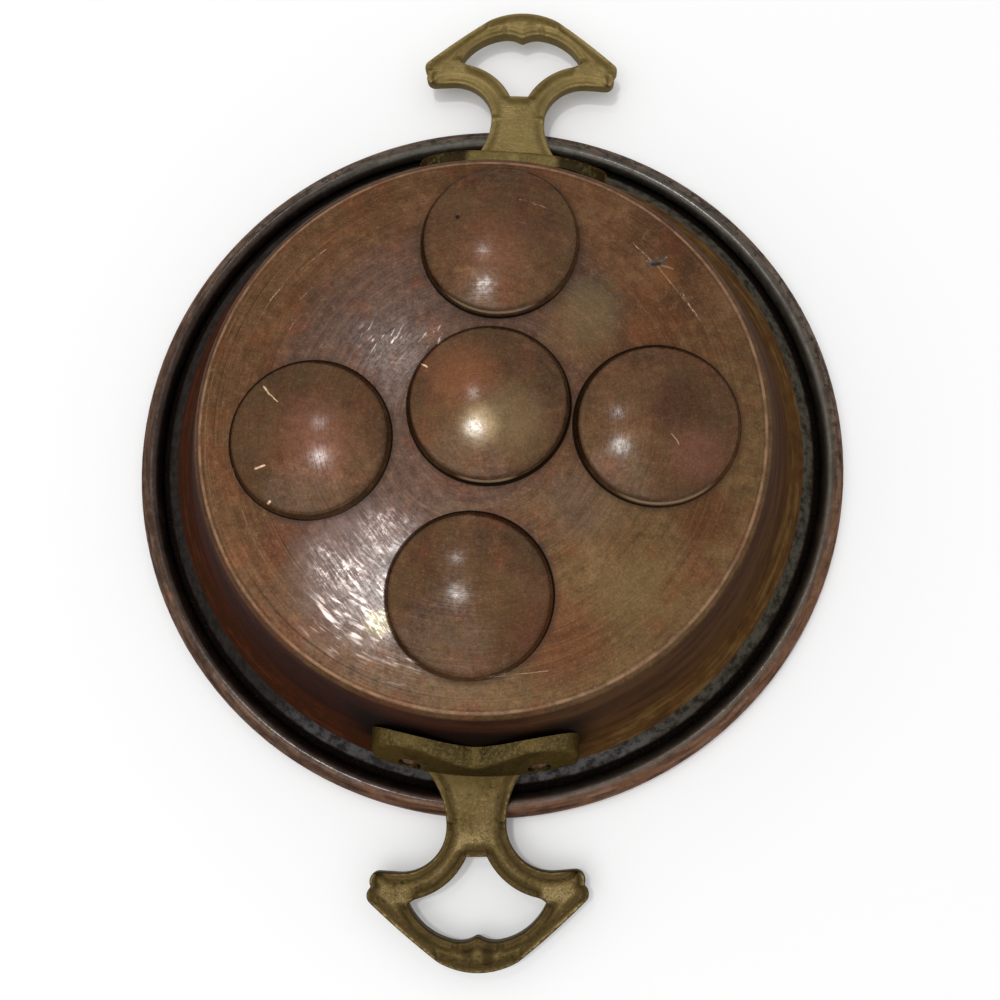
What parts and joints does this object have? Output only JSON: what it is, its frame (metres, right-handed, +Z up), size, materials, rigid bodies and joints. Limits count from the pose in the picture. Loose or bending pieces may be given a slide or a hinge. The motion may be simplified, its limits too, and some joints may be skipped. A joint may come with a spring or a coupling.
{
  "type": "escargot pan",
  "caption": "Round tinned copper escargot pan lying mouth down, with hollows pressed into its base, a rolled rim and riveted cast brass loop handles.",
  "frame": {"origin": "centre of the ring on which the rim rests, in the plane of the surface under it", "axes": "+Z up out of the upturned base, the pan lying mouth down as pictured; Y from handle to handle, -Y towards the handle nearer the camera; +X to the right in the picture"},
  "size_m": [0.152, 0.2094, 0.0318],
  "materials": {
    "copper": "aged copper, brushed in rings and darkened in the corners",
    "tin": "dull wiped tin",
    "cast_brass": "sand cast, satin, tarnished olive",
    "rivet_copper": "dark aged copper"
  },
  "bodies": {
    "root": {"pan_body": "copper", "tin_lining": "tin", "front_handle": "cast_brass", "back_handle": "cast_brass", "front_left_rivet": "rivet_copper", "front_right_rivet": "rivet_copper", "back_left_rivet": "rivet_copper", "back_right_rivet": "rivet_copper"}
  },
  "joints": []
}
